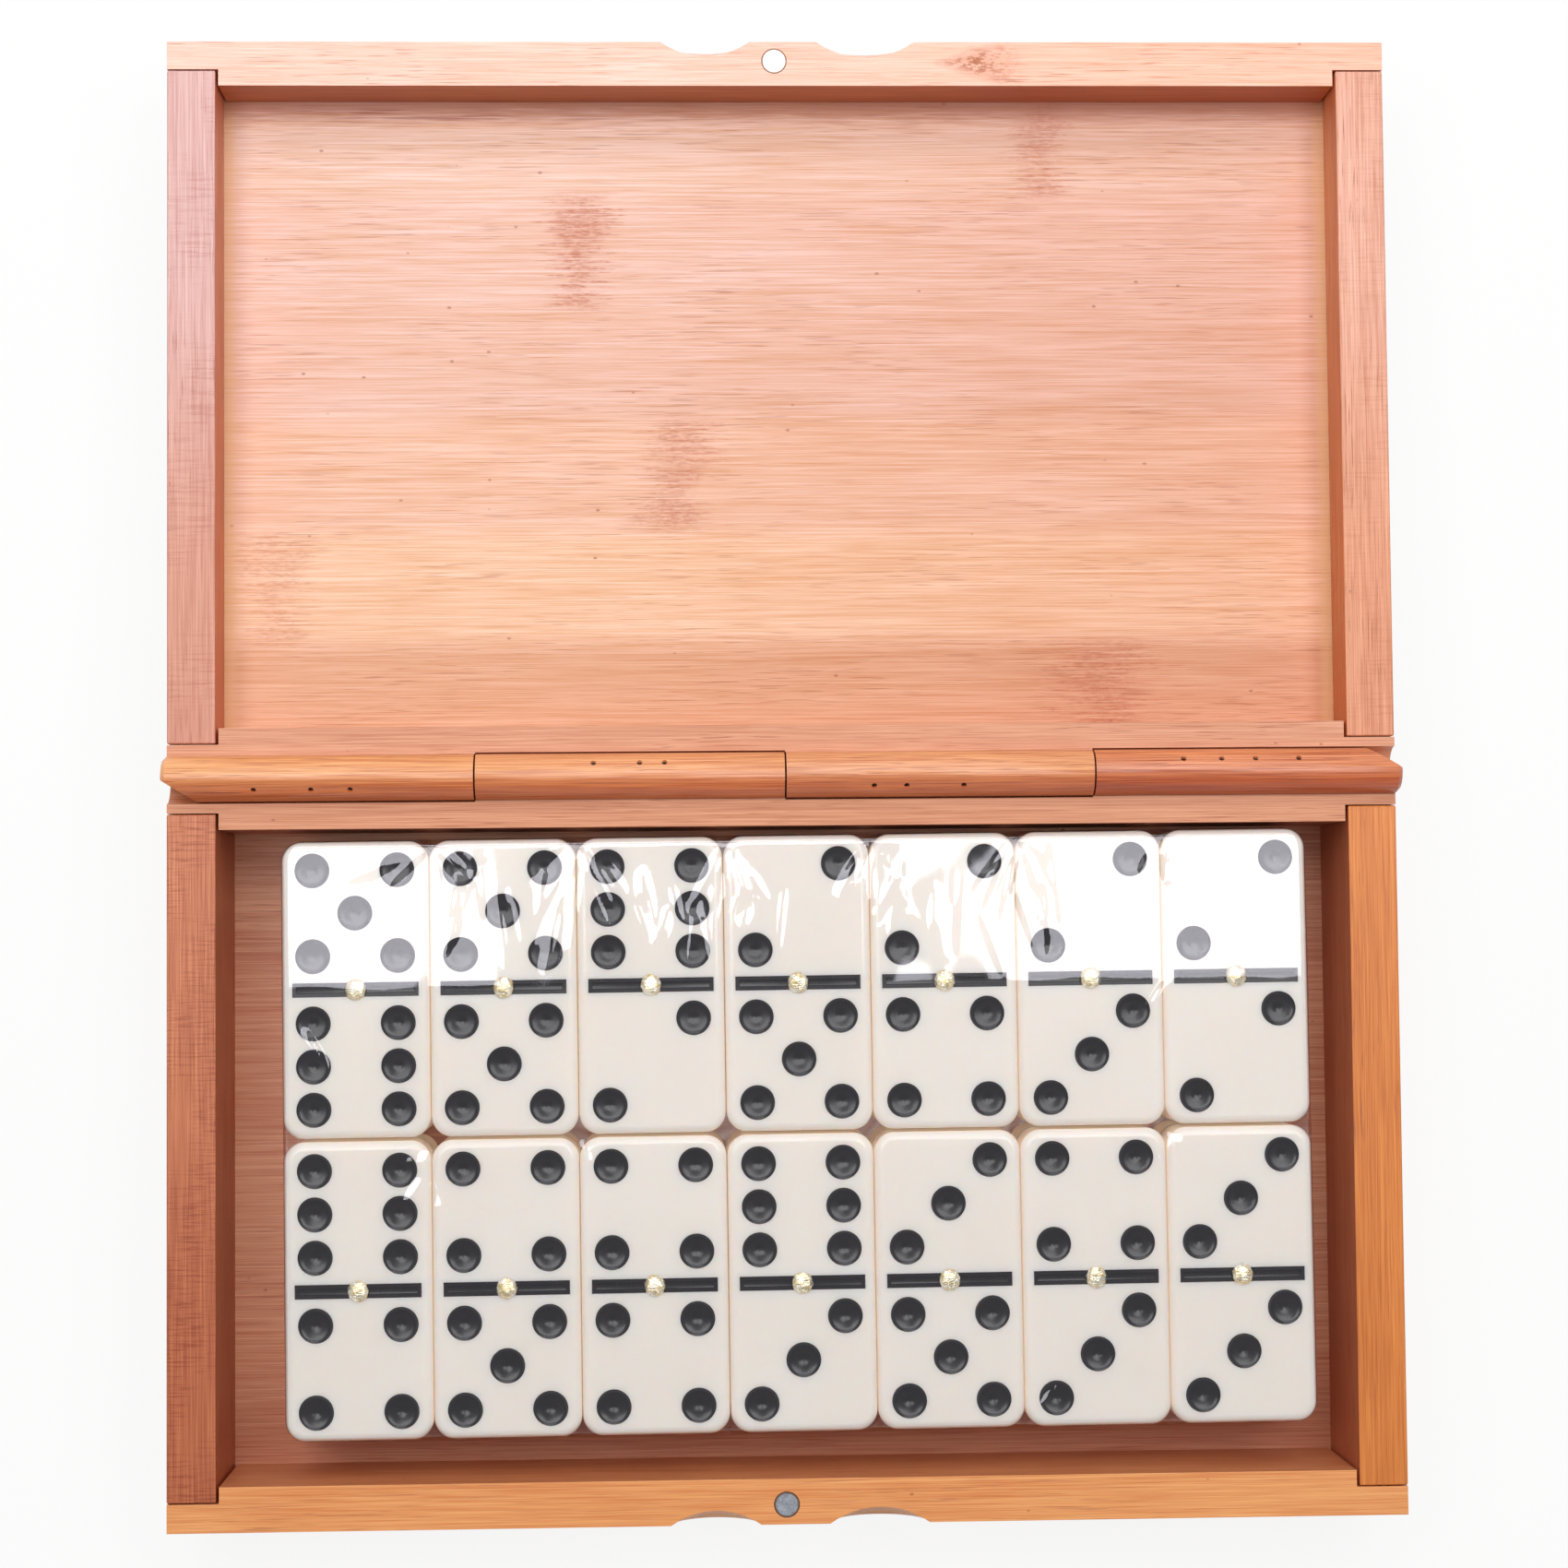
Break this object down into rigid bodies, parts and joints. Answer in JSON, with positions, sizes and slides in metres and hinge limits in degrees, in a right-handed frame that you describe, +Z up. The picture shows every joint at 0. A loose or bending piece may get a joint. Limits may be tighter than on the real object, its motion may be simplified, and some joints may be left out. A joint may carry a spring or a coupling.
{
  "type": "domino storage box",
  "caption": "Shallow hinged bamboo box opened flat, with a wooden barrel hinge, magnets in the front rims and a film-wrapped domino set in the tray.",
  "frame": {"origin": "on the table, straight under the middle of the hinge axis, with the box opened flat", "axes": "+X along the hinge to the right, +Y from the tray towards the opened lid, +Z up"},
  "size_m": [0.2102, 0.2524, 0.0326],
  "materials": {
    "lid_panel_wood": "lacquered bamboo, satin",
    "lid_front_wood": "lacquered bamboo, satin",
    "lid_side_wood": "lacquered bamboo, satin",
    "lid_back_wood": "lacquered bamboo, satin",
    "tray_panel_wood": "lacquered bamboo, satin",
    "tray_front_wood": "lacquered bamboo, satin",
    "tray_side_wood": "lacquered bamboo, satin",
    "tray_back_wood": "lacquered bamboo, satin",
    "barrel_wood": "lacquered bamboo, glossy",
    "magnet_nickel": "nickel plate, worn",
    "nail_steel": "plain steel",
    "pin_steel": "plain steel",
    "tile_ivory": "polished",
    "pip_enamel": "glossy",
    "spinner_brass": "polished",
    "clear_film": "clear glossy film"
  },
  "bodies": {
    "tray": {"tray_floor_panel": "tray_panel_wood", "tray_front_wall": "tray_front_wood", "tray_back_wall": "tray_back_wood", "tray_left_wall": "tray_side_wood", "tray_right_wall": "tray_side_wood", "tray_magnet": "magnet_nickel", "tray_knuckle_inner": "barrel_wood", "tray_knuckle_end": "barrel_wood", "tray_brads": "nail_steel", "hinge_pins": "pin_steel"},
    "lid": {"lid_panel": "lid_panel_wood", "lid_front_wall": "lid_front_wood", "lid_back_wall": "lid_back_wood", "lid_left_wall": "lid_side_wood", "lid_right_wall": "lid_side_wood", "lid_magnet": "magnet_nickel", "lid_knuckle_end": "barrel_wood", "lid_knuckle_inner": "barrel_wood", "lid_brads": "nail_steel"},
    "domino_pack": {"tile_5_6": "tile_ivory", "tile_5_5": "tile_ivory", "tile_6_2": "tile_ivory", "tile_2_5": "tile_ivory", "tile_2_4": "tile_ivory", "tile_2_3": "tile_ivory", "tile_2_2": "tile_ivory", "tile_6_4": "tile_ivory", "tile_4_5": "tile_ivory", "tile_4_4": "tile_ivory", "tile_6_3": "tile_ivory", "tile_3_5": "tile_ivory", "tile_4_3": "tile_ivory", "tile_3_3": "tile_ivory", "tile_6_6": "tile_ivory", "tile_6_1": "tile_ivory", "tile_6_0": "tile_ivory", "tile_5_1": "tile_ivory", "tile_5_0": "tile_ivory", "tile_4_1": "tile_ivory", "tile_4_0": "tile_ivory", "tile_3_1": "tile_ivory", "tile_3_0": "tile_ivory", "tile_2_1": "tile_ivory", "tile_2_0": "tile_ivory", "tile_1_1": "tile_ivory", "tile_1_0": "tile_ivory", "tile_0_0": "tile_ivory", "spinners_top": "spinner_brass", "spinners_bottom": "spinner_brass", "enamel_top": "pip_enamel", "enamel_bottom": "pip_enamel", "shrink_film": "clear_film"}
  },
  "joints": [
    {"name": "lid_hinge", "type": "hinge", "parent": "tray", "child": "lid", "pos_m": [0, 0, 0.02871], "axis": [1, 0, 0], "range_deg": [0, 180]},
    {"name": "pack_lift", "type": "slide", "parent": "tray", "child": "domino_pack", "axis": [0, 0, 1], "range_m": [0, 0.011]}
  ]
}
